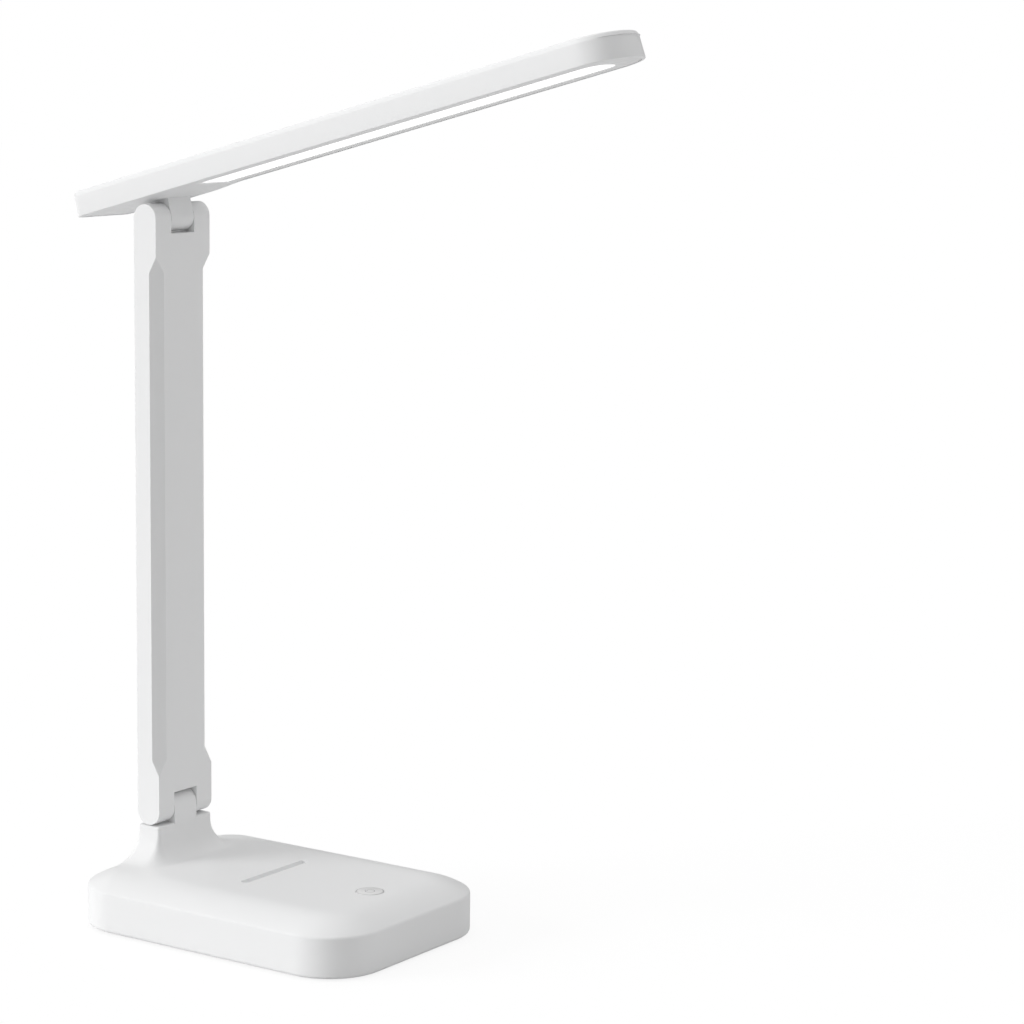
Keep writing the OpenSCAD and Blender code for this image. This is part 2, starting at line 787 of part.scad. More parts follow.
// The lit window's outline, grown by d
module window_outline(d, z0, z1) {
    x0 = window_rear - d;
    x1 = window_front + d;
    w = window_w + 2 * d;
    r = window_r + d;
    box(x0, x1 - r, w, z0, z1);
    box(x1 - r - over, x1, w - 2 * r, z0, z1);
    for (s = [-1, 1]) post(x1 - r, s * (w / 2 - r), r, z0, z1);
}

// The neck's flare: an S-shaped rise from the ears' clearance to the bar, ahead and behind
neck_low = knuckle_r + move_gap;
neck_land = 1.6;
neck_flat = knuckle_r + neck_land;
function neck_rise(u) = neck_low + (head_drop - neck_low) * (1 - cos(180 * u)) / 2;
neck_points = concat(
    [for (i = [0:8]) [neck_flat + (neck_front - neck_flat) * i / 8, neck_rise(i / 8)]],
    [for (i = [8:-1:0]) [-neck_flat - (neck_rear - neck_flat) * i / 8, neck_rise(i / 8)]]);

module head_frame() {
    color(frame_grey) at_head() {
        difference() {
            union() {
                frame_outline(0, head_drop, frame_top);
                difference() {
                    frame_outline(0, frame_top - over / 2, frame_top + lip_h);
                    frame_outline(lip_t, frame_top - over, frame_top + lip_h + over);
                }
                // The flare is as wide as the bar, and its root joins it to the plate
                rotate([90, 0, 0]) linear_extrude(head_w, center = true) polygon(neck_points);
                box(-neck_flat, neck_flat, frame_w, neck_low + over, frame_top);
                knuckle(head_drop);
            }
            window_outline(0, head_drop - over, frame_top + over);
            knuckle_cuts(frame_top + over);
        }
        for (x = led_screw_at, s = [-1, 1]) difference() {
            post(x, s * led_post_y, led_post_r, frame_top, led_board_z);
            post(x, s * led_post_y, led_screw_r, frame_top, led_board_z + over);
        }
    }
}

module diffuser() {
    color("#ffffff") at_head() {
        window_outline(-panel_gap / 2, head_drop + diffuser_recess, frame_top);
        window_outline(flange, frame_top, frame_top + flange_t);
    }
}

module led_board() {
    color("#e9ecec") at_head() difference() {
        box(led_board_rear, led_board_front, led_board_w, led_board_z, led_board_z + board_t);
        for (x = led_screw_at, s = [-1, 1])
            post(x, s * led_post_y, led_screw_r + panel_gap, 0, head_top);
    }
}

module led_chips() {
    color("#f3e79a") at_head() for (i = [0:led_n - 1], s = [-1, 1]) {
        x = window_rear + (window_front - window_rear) * (i + 0.5) / led_n;
        translate([x - led_l / 2, s * led_row_y - led_w / 2, led_board_z - led_t])
            cube([led_l, led_w, led_t]);
    }
}

module led_board_screws() {
    color(steel_grey) at_head() for (x = led_screw_at, s = [-1, 1])
        screw(x, s * led_post_y, led_board_z + board_t, led_screw_r, led_head_r, led_head_t, led_screw_l);
}

module head_lead() {
    x0 = channel_x - lead_t / 2;
    x1 = led_board_rear - led_lead_gap;
    z1 = led_board_z + board_t;
    color(lead_white) at_head() {
        box(x0, x0 + lead_t, lead_w, lead_past, frame_top + lead_t);
        box(x0, x1, lead_w, frame_top, frame_top + lead_t);
        box(x1 - lead_t, x1, lead_w, frame_top, z1 + lead_t);
        box(x1 - lead_t, led_board_rear + led_lead_land, lead_w, z1, z1 + lead_t);
    }
}

base_top_cover();
base_bottom_cover();
sole_pad();
counterweight();
weight_screws();
battery_cell();
battery_leads();
main_board();
board_components();
usb_port();
board_screws();
touch_key();
touch_foam();
touch_board();
touch_board_screws();
touch_lead();
base_screws();
base_lead();
arm_shell();
arm_rear_cover();
lower_hinge_pin();
lower_friction_washers();
upper_hinge_pin();
upper_friction_washers();
hinge_caps();
arm_lead();
head_top_shell();
head_frame();
diffuser();
led_board();
led_chips();
led_board_screws();
head_lead();
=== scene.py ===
"""A folding desk lamp in white plastic: weighted base, upright arm and lit bar."""
import json
import math

import bmesh
import bpy
from mathutils import Matrix, Vector


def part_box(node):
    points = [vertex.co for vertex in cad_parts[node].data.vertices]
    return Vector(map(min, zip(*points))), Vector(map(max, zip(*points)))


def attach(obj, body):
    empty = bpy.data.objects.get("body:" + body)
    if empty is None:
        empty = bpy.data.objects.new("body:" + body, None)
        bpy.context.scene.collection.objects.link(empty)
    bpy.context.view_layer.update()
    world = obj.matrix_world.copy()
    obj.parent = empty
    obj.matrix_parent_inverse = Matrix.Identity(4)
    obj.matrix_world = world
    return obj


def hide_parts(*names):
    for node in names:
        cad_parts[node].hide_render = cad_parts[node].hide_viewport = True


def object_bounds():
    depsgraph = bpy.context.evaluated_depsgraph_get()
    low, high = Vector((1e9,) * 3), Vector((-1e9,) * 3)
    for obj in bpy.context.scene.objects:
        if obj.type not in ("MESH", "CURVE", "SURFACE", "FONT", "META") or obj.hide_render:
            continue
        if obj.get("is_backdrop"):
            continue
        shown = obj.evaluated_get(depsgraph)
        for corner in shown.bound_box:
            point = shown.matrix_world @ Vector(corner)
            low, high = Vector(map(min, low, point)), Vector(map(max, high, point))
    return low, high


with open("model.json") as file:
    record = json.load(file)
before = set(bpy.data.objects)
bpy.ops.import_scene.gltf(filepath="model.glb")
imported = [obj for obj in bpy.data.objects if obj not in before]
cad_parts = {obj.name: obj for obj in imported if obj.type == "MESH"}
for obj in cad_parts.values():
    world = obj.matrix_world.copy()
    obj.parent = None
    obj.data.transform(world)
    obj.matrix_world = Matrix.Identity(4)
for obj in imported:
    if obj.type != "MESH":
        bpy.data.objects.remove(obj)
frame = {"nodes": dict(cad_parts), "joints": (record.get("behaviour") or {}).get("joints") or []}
cad_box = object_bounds()
nodes = frame["nodes"]
lower_hinge, upper_hinge = [Vector(joint["pos_m"]) for joint in frame["joints"]]
mm = 0.001
bpy.ops.object.select_all(action="DESELECT")


# Camera: it stands at the lamp's front right, a little above the bar's hinge, and looks
# slightly down. Its lens is long, so the upright arm hardly narrows.
camera_place = (0.8543, -1.0687, 0.4080)
yaw, pitch, roll = math.radians(34.303), math.radians(9.013), math.radians(0.684)
bpy.ops.object.camera_add()
camera = bpy.context.object
camera.name = "camera"
camera.data.lens = 109.52
camera.data.sensor_width = 36
camera.matrix_world = (
    Matrix.Translation(camera_place)
    @ Matrix.Rotation(yaw, 4, "Z")
    @ Matrix.Rotation(math.pi / 2 - pitch, 4, "X")
    @ Matrix.Rotation(roll, 4, "Z")
)
bpy.context.scene.camera = camera


# Base shell: the moulded upper half of the base, a low dome inside a crisp edge. At the
# rear it sweeps up into a coved pedestal, whose tongue carries the arm's lower pin. The
# sweep has no straight line in it, so its skin is laid ring by ring from a formula.
base_low, base_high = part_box("base_top_cover")
half_l, half_w, corner = base_high.x, base_high.y, 26 * mm
crease_z, crease_r = 19.2 * mm, 1.6 * mm
dome_rise, dome_run = 6.3 * mm, 20 * mm
dome_z = crease_z + dome_rise
wall = 2.4 * mm
foot_z, foot_round = base_low.z, 1.8 * mm
hinge_x = lower_hinge.x
arm_half_t, arm_half_w = 6.35 * mm, 18.5 * mm
shoulder_z, shoulder_round = lower_hinge.z - arm_half_t - 0.5 * mm, 0.8 * mm
cove_z = dome_z + 13 * mm
cove_front, cove_side, cove_rear = 10 * mm, 14 * mm, 9.5 * mm
pedestal_corner, hollow_corner = 1.5 * mm, mm
slot_half_w = 7.9 * mm
tongue_half_w, tongue_sunk = slot_half_w - 0.3 * mm, 0.6 * mm
pin_r, pin_gap = 2.5 * mm, 0.05 * mm
washer_r, washer_t = 5.3 * mm, 0.55 * mm
lead_half_w = 4 * mm
quarter_turn = math.radians(90)
corner_steps, shoulder_steps, cove_steps, round_steps = 12, 5, 14, 6
dome_steps, dome_crowding = 22, 1.7


def ring(place):
    """Four quarter turns, each point at place(cos, sin, side_x, side_y) about its corner."""
    points = []
    for quarter, (side_x, side_y) in enumerate([(1, 1), (-1, 1), (-1, -1), (1, -1)]):
        for step in range(corner_steps + 1):
            turn = quarter_turn * (quarter + step / corner_steps)
            points.append(place(math.cos(turn), math.sin(turn), side_x, side_y))
    return points


def base_ring(inset):
    """The base's outline seen from above, drawn in by inset."""
    r = corner - inset
    return ring(lambda c, s, sx, sy: (sx * (half_l - corner) + r * c,
                                      sy * (half_w - corner) + r * s))


def pedestal_ring(spread, inset=0):
    """The pedestal's outline, drawn in by inset, or spread by a share of each cove's reach."""
    def place(c, s, sx, sy):
        rx = pedestal_corner - inset + spread * (cove_front if sx > 0 else cove_rear)
        ry = pedestal_corner - inset + spread * cove_side
        return (hinge_x + sx * (arm_half_t - pedestal_corner) + rx * c,
                sy * (arm_half_w - pedestal_corner) + ry * s)
    return ring(place)


def hollow_ring():
    """The outline of the pedestal's hollow."""
    r = hollow_corner
    return ring(lambda c, s, sx, sy: (hinge_x + sx * (arm_half_t - wall - r) + r * c,
                                      sy * (arm_half_w - wall - r) + r * s))


def dome(x, y):
    """Height of the dome, which depends on the distance from the base's edge."""
    qx, qy = abs(x) - half_l + corner, abs(y) - half_w + corner
    out = math.hypot(qx, qy) if qx > 0 and qy > 0 else max(qx, qy)
    u = min(max(corner - out, 0) / dome_run, 1)
    return crease_z + dome_rise * (1 - (1 - u) ** 2)


def level(flat, z):
    return [(x, y, z) for x, y in flat]


def over_dome(inner, outer, drop):
    """Rings from the inner outline to the outer one, all at the dome's height less drop."""
    made = []
    for step in range(dome_steps + 1):
        t = 1 - (1 - step / dome_steps) ** dome_crowding
        flat = [(a[0] + t * (b[0] - a[0]), a[1] + t * (b[1] - a[1])) for a, b in zip(inner, outer)]
        made.append([(x, y, dome(x, y) - drop) for x, y in flat])
    return made


rings = []
for step in range(shoulder_steps):
    turn = quarter_turn * step / shoulder_steps
    rings.append(level(pedestal_ring(0, shoulder_round * (1 - math.sin(turn))),
                       shoulder_z - shoulder_round * (1 - math.cos(turn))))
rings.append(level(pedestal_ring(0), shoulder_z - shoulder_round))
for step in range(cove_steps):
    turn = quarter_turn * step / cove_steps
    rings.append([(x, y, cove_z * (1 - math.sin(turn)) + dome(x, y) * math.sin(turn))
                  for x, y in pedestal_ring(1 - math.cos(turn))])
crease_turn = quarter_turn - math.atan(2 * dome_rise / dome_run)
crease_reach = crease_r * math.tan(crease_turn / 2)
rings += over_dome(pedestal_ring(1), base_ring(crease_r * (1 - math.cos(crease_turn))), 0)
for step in range(1, round_steps + 1):
    turn = crease_turn * (1 - step / round_steps)
    rings.append(level(base_ring(crease_r * (1 - math.cos(turn))),
                       crease_z - crease_reach + crease_r * math.sin(turn)))
for step in range(round_steps + 1):
    turn = quarter_turn * step / round_steps
    rings.append(level(base_ring(foot_round * (1 - math.cos(turn))),
                       foot_z + foot_round * (1 - math.sin(turn))))
rings.append(level(base_ring(wall), foot_z))
rings += reversed(over_dome(hollow_ring(), base_ring(wall), wall))
rings.append(level(hollow_ring(), shoulder_z - wall))

mesh = bpy.data.meshes.new("base_shell")
count = len(rings[0])
faces = [list(range(count)), [(len(rings) - 1) * count + i for i in reversed(range(count))]]
for k in range(len(rings) - 1):
    for i in range(count):
        a, b = k * count + i, k * count + (i + 1) % count
        faces.append([a, a + count, b + count, b])
mesh.from_pydata([point for one in rings for point in one], [], faces)
base_shell = bpy.data.objects.new("base_shell", mesh)
bpy.context.collection.objects.link(base_shell)

hair, merge_gap = 0.05 * mm, 0.005 * mm
round_sides = 64
mould_angle = math.radians(34)
reach = 10 * mm


def take(piece):
    """Makes piece the only selected object."""
    bpy.ops.object.select_all(action="DESELECT")
    piece.select_set(True)
    bpy.context.view_layer.objects.active = piece


def pick(kind, test):
    """Selects the vertices, edges or faces of the edited piece that pass the test."""
    bpy.ops.mesh.select_mode(type=kind)
    bpy.ops.mesh.select_all(action="DESELECT")
    shape = bmesh.from_edit_mesh(bpy.context.edit_object.data)
    for item in {"VERT": shape.verts, "EDGE": shape.edges, "FACE": shape.faces}[kind]:
        if test(item):
            item.select_set(True)
    bmesh.update_edit_mesh(bpy.context.edit_object.data)


def near(a, b):
    return abs(a - b) < hair


def middle(edge):
    return (edge.verts[0].co + edge.verts[1].co) / 2


def along(edge, axis):
    """True if the edge runs along that axis, 0 to 2."""
    run = edge.verts[1].co - edge.verts[0].co
    return abs(run[axis]) > 0.999 * run.length


def at_height(edge, z):
    """True if both of the edge's ends are at that height."""
    return near(edge.verts[0].co.z, z) and near(edge.verts[1].co.z, z)


def looks(face, axis, way=1):
    """True if the face looks up that axis, or down it with way -1."""
    return way * face.normal[axis] > 0.9


def round_edges(piece, radius, segments, test):
    """Rounds the edges that pass the test."""
    take(piece)
    bpy.ops.object.mode_set(mode="EDIT")
    pick("EDGE", test)
    bpy.ops.mesh.bevel(offset=radius, segments=segments, affect="EDGES")
    bpy.ops.mesh.select_all(action="SELECT")
    bpy.ops.mesh.remove_doubles(threshold=merge_gap)
    bpy.ops.object.mode_set(mode="OBJECT")


def block(name, x, y, z):
    """A cuboid between the (low, high) pairs along each axis."""
    bpy.ops.mesh.primitive_cube_add(size=1, location=[sum(span) / 2 for span in (x, y, z)],
                                    scale=[span[1] - span[0] for span in (x, y, z)])
    bpy.ops.object.transform_apply(location=True, rotation=False, scale=True)
    bpy.context.object.name = name
    return bpy.context.object


def rod(name, x, z, radius, y0, y1):
    """A cylinder along Y."""
    bpy.ops.mesh.primitive_cylinder_add(vertices=round_sides, radius=radius, depth=y1 - y0,
                                        location=(x, (y0 + y1) / 2, z),
                                        rotation=(math.pi / 2, 0, 0))
    bpy.ops.object.transform_apply(location=True, rotation=True, scale=False)
    bpy.context.object.name = name
    return bpy.context.object


def post(name, x, y, radius, z0, z1, sides=round_sides):
    """A cylinder along Z."""
    bpy.ops.mesh.primitive_cylinder_add(vertices=sides, radius=radius, depth=z1 - z0,
                                        location=(x, y, (z0 + z1) / 2))
    bpy.ops.object.transform_apply(location=True, rotation=False, scale=False)
    bpy.context.object.name = name
    return bpy.context.object


def apply(piece, kind, **settings):
    """Adds a modifier with its settings and applies it."""
    take(piece)
    bpy.ops.object.modifier_add(type=kind)
    modifier = piece.modifiers[-1]
    for name, value in settings.items():
        setattr(modifier, name, value)
    bpy.ops.object.modifier_apply(modifier=modifier.name)


def cut(piece, *tools):
    """Takes the tools' shapes out of the piece. They are used up."""
    for tool in tools:
        apply(piece, "BOOLEAN", object=tool, operation="DIFFERENCE", solver="EXACT")
        bpy.data.objects.remove(tool)


def weld(piece, *others):
    """Makes one solid of the piece and the others, which are used up."""
    for other in others:
        apply(piece, "BOOLEAN", object=other, operation="UNION", solver="EXACT")
        bpy.data.objects.remove(other)


def soften(piece, width, segments=2):
    """Rounds what is sharper than the mould's angle, and shades the piece smooth."""
    apply(piece, "BEVEL", width=width, segments=segments, limit_method="ANGLE",
          angle_limit=mould_angle)
    bpy.ops.object.shade_smooth_by_angle(angle=mould_angle)


def tongue(name, x, z, root_z):
    """A hinge tongue: a round end about the pin at (x, z), and flat sides as far as root_z."""
    tip_z = z - arm_half_t if root_z > z else z + arm_half_t
    piece = block(name, (x - arm_half_t, x + arm_half_t), (-tongue_half_w, tongue_half_w),
                  sorted((tip_z, root_z)))
    round_edges(piece, arm_half_t, 20, lambda e: along(e, 1) and near(middle(e).z, tip_z))
    return piece


def tongue_cuts(x, z, lead_low, lead_high):
    """What a tongue leaves free: the pin's bore, the washers' seats and the lead's channel."""
    seat = tongue_half_w - washer_t
    channel_x, channel_half_t = x - 4.25 * mm, 1.1 * mm
    return [rod("bore", x, z, pin_r + pin_gap, -arm_half_w, arm_half_w),
            rod("seat", x, z, washer_r, seat, arm_half_w),
            rod("seat", x, z, washer_r, -arm_half_w, -seat),
            block("channel", (channel_x - channel_half_t, channel_x + channel_half_t),
                  (-lead_half_w, lead_half_w), (lead_low, lead_high))]


weld(base_shell, tongue("base_tongue", hinge_x, lower_hinge.z, shoulder_z - tongue_sunk))
lead_exit_z = crease_z - 6 * mm
cut(base_shell, *tongue_cuts(hinge_x, lower_hinge.z, lead_exit_z, lower_hinge.z + reach))

# The rest groove, the key's hole and the socket's mouth are cut through the moulding.
groove_x, groove_half_l, groove_half_w = -2.5 * mm, 22.5 * mm, 2 * mm
groove_depth, above_dome = 1.8 * mm, 2 * mm
groove = block("groove", (groove_x - groove_half_w, groove_x + groove_half_w),
               (-groove_half_l, groove_half_l), (dome_z - groove_depth, dome_z + above_dome))
round_edges(groove, groove_half_w, 10, lambda e: along(e, 2))
cut(base_shell, groove)

key_low, key_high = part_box("touch_key")
key_x, key_r, key_gap = (key_low.x + key_high.x) / 2, 6.2 * mm, 0.15 * mm
cut(base_shell, post("key_hole", key_x, 0, key_r + key_gap, dome_z - 2 * wall, dome_z + wall))

port_low, port_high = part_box("usb_port")
port_gap = 0.15 * mm
mouth = block("mouth", (-half_l - mm, -half_l + 2 * wall),
              (port_low.y - port_gap, port_high.y + port_gap),
              (port_low.z - port_gap, port_high.z + port_gap))
round_edges(mouth, (port_high.z - port_low.z) / 2 + port_gap, 10, lambda e: along(e, 0))
cut(base_shell, mouth)
soften(base_shell, 0.3 * mm)
apply(base_shell, "WEIGHTED_NORMAL", keep_sharp=True)


class Wire:
    """A shader socket that sums and products can be written with."""

    def __init__(self, tree, socket=None):
        self.tree = tree
        self.socket = socket

    def node(self, kind, settings, inputs, out=0):
        """Adds a node: its settings first, then the values or wires of its sockets."""
        made = self.tree.nodes.new("ShaderNode" + kind)
        for name, value in settings.items():
            setattr(made, name, value)
        for name, value in inputs.items():
            if isinstance(value, Wire):
                self.tree.links.new(value.socket, made.inputs[name])
            else:
                made.inputs[name].default_value = value
        return Wire(self.tree, made.outputs[out])

    def maths(self, operation, a, b=0.0):
        return self.node("Math", {"operation": operation}, {0: a, 1: b})

    def __add__(self, other):
        return self.maths("ADD", self, other)

    def __sub__(self, other):
        return self.maths("SUBTRACT", self, other)

    def __rsub__(self, other):
        return self.maths("SUBTRACT", other, self)

    def __mul__(self, other):
        return self.maths("MULTIPLY", self, other)

    def __abs__(self):
        return self.maths("ABSOLUTE", self)

    __radd__ = __add__
    __rmul__ = __mul__

    def root(self):
        return self.maths("SQRT", self)

    def wave(self, length):
        """A ripple from -1 to 1 that repeats at every length."""
        return self.maths("SINE", self * (2 * math.pi / length))

    def below(self, limit, blur):
        """1 where the value is under the limit and 0 where it is over it, with a soft step."""
        return self.node("Math", {"operation": "MULTIPLY_ADD", "use_clamp": True},
                         {0: self, 1: -1 / blur, 2: limit / blur + 0.5})

    def axis(self, which):
        return self.node("SeparateXYZ", {}, {0: self}, out=which)

    def noise(self, scale, detail=2.0):
        """Soft noise with about that many spots to the metre."""
        return self.node("TexNoise", {}, {"Vector": self, "Scale": scale, "Detail": detail})


def new_finish(name, colour, **values):
    """A material with its constants set. Also gives its shader and its object coordinates."""
    material = bpy.data.materials.new(name)
    material.use_nodes = True
    shader = material.node_tree.nodes["Principled BSDF"]
    shader.inputs["Base Color"].default_value = (*colour, 1)
    for key, value in values.items():
        shader.inputs[key.replace("_", " ").title().replace("Ior", "IOR")].default_value = value
    place = Wire(material.node_tree).node("TexCoord", {}, {}, out=3)
    return material, shader, place


def feed(shader, name, wire):
    wire.tree.links.new(wire.socket, shader.inputs[name])


def blend(mask, one, other):
    """A colour that goes from one to other with the mask. Either may be a wire."""
    one, other = [c if isinstance(c, Wire) else (*c, 1) for c in (one, other)]
    return mask.node("Mix", {"data_type": "RGBA"}, {0: mask, 6: one, 7: other}, out=2)


def raise_by(shader, height, distance):
    """Bumps the surface by the height, whose 0 to 1 stands for that distance."""
    feed(shader, "Normal", height.node("Bump", {}, {"Height": height, "Distance": distance}))


def moulded(name, light, dark, roughness):
    """Satin moulded plastic: a fine eroded grain, and a slow drift of tone and of gloss."""
    material, shader, place = new_finish(name, light, ior=1.47)
    drift = place.noise(14, 3)
    fine = place.noise(2600)
    feed(shader, "Base Color", blend(drift, light, dark))
    feed(shader, "Roughness", roughness + (drift - 0.5) * 0.1 + (fine - 0.5) * 0.08)
    raise_by(shader, fine, 0.004 * mm)
    return material


def dress(piece, material, body, slot, *replaced):
    """Gives a new piece its material and its body, and hides the nodes it stands for. The slot is
    not used.
    """
    piece.data.materials.clear()
    piece.data.materials.append(material)
    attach(piece, body)
    if replaced:
        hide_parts(*replaced)


shell_white = moulded("shell_white", (0.86, 0.86, 0.86), (0.845, 0.85, 0.855), 0.42)
dress(base_shell, shell_white, "base", "shell", "base_top_cover")


# Touch key: a smooth disc of white plastic that stands a hair above the dome, held from
# below by its flange. A thin power mark is printed in its middle, and a grey ring of
# painted shade at its edge widens the dark line of the gap around it.
flange_r, flange_t = (key_high.x - key_low.x) / 2, 0.8 * mm


def pull_up(height):
    """Extrudes the selected faces upwards."""
    bpy.ops.mesh.extrude_region_move(TRANSFORM_OT_translate={"value": (0, 0, height)})


touch_key = post("touch_face", key_x, 0, flange_r, key_low.z, key_low.z + flange_t, 96)
bpy.ops.object.mode_set(mode="EDIT")
pick("FACE", lambda f: looks(f, 2))
bpy.ops.mesh.inset(thickness=flange_r - key_r, depth=0)
pull_up(key_high.z - key_low.z - flange_t)
bpy.ops.object.mode_set(mode="OBJECT")
round_edges(touch_key, 0.3 * mm, 4, lambda e: at_height(e, key_high.z))
bpy.ops.object.shade_smooth_by_angle(angle=mould_angle)

key_tone, gap_shade_tone, mark_tone = (0.85, 0.85, 0.85), (0.62, 0.62, 0.62), (0.36, 0.36, 0.37)
key_white, shader, place = new_finish("key_white", key_tone, coat_weight=0.25, ior=1.49)
mark_r, mark_half_t, mark_blur = 2.1 * mm, 0.17 * mm, 0.1 * mm
gap_half_w, stroke_x, stroke_half_l = 0.75 * mm, 1.9 * mm, 0.9 * mm
shade_ring_r, shade_ring_half_t = key_r - 0.25 * mm, 0.3 * mm
across, out = place.axis(1), place.axis(0) - key_x
from_middle = (across * across + out * out).root()
gap_in_arc = abs(across).below(gap_half_w, mark_blur) * out.below(0, mark_blur)
arc = abs(from_middle - mark_r).below(mark_half_t, mark_blur) * (1 - gap_in_arc)
stroke = (abs(across).below(mark_half_t, mark_blur)
          * abs(out + stroke_x).below(stroke_half_l, mark_blur))
mark = arc.maths("MAXIMUM", arc, stroke)
# The grey ring just inside the key's edge is painted shade, standing for the gap's shadow.
painted_gap_shade = abs(from_middle - shade_ring_r).below(shade_ring_half_t, mark_blur)
key_face_and_shade = blend(painted_gap_shade, key_tone, gap_shade_tone)
feed(shader, "Base Color", blend(mark, key_face_and_shade, mark_tone))
feed(shader, "Roughness", 0.28 + place.noise(900) * 0.08)
dress(touch_key, key_white, "base", "key", "touch_key")


# Arm: one long moulding, flush with the tongues between its ears. A chamfer runs down each
# front edge and fades out before the hinges. The back is open for the lead and the cover.
front_x, back_x = hinge_x + arm_half_t, hinge_x - arm_half_t
low_z, high_z = lower_hinge.z, upper_hinge.z
arm = block("arm_moulding", (back_x, front_x), (-arm_half_w, arm_half_w),
            (low_z - arm_half_t, high_z + arm_half_t))
round_edges(arm, arm_half_t, 24, lambda e: along(e, 1))

chamfer_x, chamfer_y, chamfer_start, chamfer_fade = 4 * mm, 5.4 * mm, 17 * mm, 7 * mm
chamfer_depth = chamfer_x * chamfer_y / math.hypot(chamfer_x, chamfer_y)
blade_t, blade_half_w = 5 * mm, 8 * mm
blade_low, blade_high = low_z + chamfer_start + chamfer_fade, high_z - chamfer_start - chamfer_fade
blade_middle = (0, 0, (blade_low + blade_high) / 2)
flare_by = 1 + 2 * blade_t / chamfer_depth * chamfer_fade / (blade_high - blade_low)
for side in (1, -1):
    blade = block("blade", (0, blade_t), (-blade_half_w, blade_half_w), (blade_low, blade_high))
    bpy.ops.object.mode_set(mode="EDIT")
    pick("FACE", lambda f: looks(f, 0))
    bpy.ops.transform.resize(value=(1, 1, flare_by), center_override=blade_middle)
    bpy.ops.object.mode_set(mode="OBJECT")
    blade.rotation_euler.z = side * math.atan2(chamfer_x, chamfer_y)
    blade.location = (front_x - chamfer_x / 2, side * (arm_half_w - chamfer_y / 2), 0)
    bpy.ops.object.transform_apply(location=True, rotation=True, scale=False)
    cut(arm, blade)

lower_slot_z, upper_slot_z = low_z + 7.7 * mm, high_z - 6.9 * mm
slot_x, slot_y = (back_x - mm, front_x + mm), (-slot_half_w, slot_half_w)
cut(arm, block("slot", slot_x, slot_y, (low_z - reach, lower_slot_z)),
    block("slot", slot_x, slot_y, (upper_slot_z, high_z + reach)))

cover_low, cover_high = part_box("arm_rear_cover")
cover_gap, ledge = 0.15 * mm, 2 * mm
rebate_y, rebate_z = cover_high.y + cover_gap, (cover_low.z - cover_gap, cover_high.z + cover_gap)
hollow_x, lead_way_t, arm_edge = front_x - 2.2 * mm, 2.2 * mm, 0.35 * mm
cut(arm, block("rebate", (back_x - mm, cover_high.x), (-rebate_y, rebate_y), rebate_z),
    block("hollow", (back_x - mm, hollow_x), (ledge - rebate_y, rebate_y - ledge),
          (rebate_z[0] + ledge, rebate_z[1] - ledge)),
    block("lead_way", (hollow_x - lead_way_t, hollow_x), (-lead_half_w, lead_half_w),
          (low_z, high_z)))
cap_r, cap_gap, cap_t, pin_cover = 4.3 * mm, 0.075 * mm, 1.2 * mm, 3 * mm
for z in (low_z, high_z):
    cut(arm, rod("pin_hole", hinge_x, z, pin_r, pin_cover - arm_half_w, arm_half_w),
        rod("cap_seat", hinge_x, z, cap_r, arm_half_w - 2 * cap_t, arm_half_w + mm))
soften(arm, arm_edge)
dress(arm, shell_white, "arm", "shell", "arm_shell")


# Rear cover: a flat moulded panel that snaps into the arm's back over the lead.
rear_cover = block("rear_cover", (cover_low.x, cover_high.x), (cover_low.y, cover_high.y),
                   (cover_low.z, cover_high.z))
soften(rear_cover, arm_edge)
dress(rear_cover, shell_white, "arm", "shell", "arm_rear_cover")


# Pin caps: two thin moulded discs that are pressed in over the pins' heads.
caps = [rod("pin_caps", hinge_x, z, cap_r - cap_gap, arm_half_w - cap_t, arm_half_w)
        for z in (low_z, high_z)]
take(caps[0])
caps[1].select_set(True)
bpy.ops.object.join()
pin_caps = bpy.context.object
soften(pin_caps, 0.3 * mm, 3)
dress(pin_caps, shell_white, "arm", "shell", "hinge_caps")


# Bar shell: the light bar's upper half, a long shallow lid. Its side turns in a little in a
# band below the top, and its round nose leans back. The bar's pieces are drawn level about
# the hinge's axis, and hang() then tilts them into place.
tilt = math.radians(15)
bar_rear, bar_front = -41 * mm, 256 * mm
bar_low, bar_high = 9.3 * mm, 20.7 * mm
bar_wall, bar_edge, bar_top_edge = 1.85 * mm, 0.35 * mm, 0.8 * mm
band_h, band_inset = 2.2 * mm, 0.7 * mm
tail_r, nose_r, nose_lean = 5 * mm, 18 * mm, mm


def slab(name, inset, z0, z1):
    """The bar's outline drawn in by inset, as a slab."""
    rear, front = bar_rear + inset, bar_front - inset
    piece = block(name, (rear, front), (inset - arm_half_w, arm_half_w - inset), (z0, z1))
    for radius, segments, end_x in ((tail_r, 8, rear), (nose_r, 32, front)):
        round_edges(piece, radius - inset, segments,
                    lambda e: along(e, 2) and near(middle(e).x, end_x))
    return piece


def hang(piece):
    """Moves a piece of the light bar from the level drawing to the tilted bar."""
    take(piece)
    piece.matrix_world = Matrix.Translation(upper_hinge) @ Matrix.Rotation(-tilt, 4, "Y")
    bpy.ops.object.transform_apply(location=True, rotation=True, scale=False)


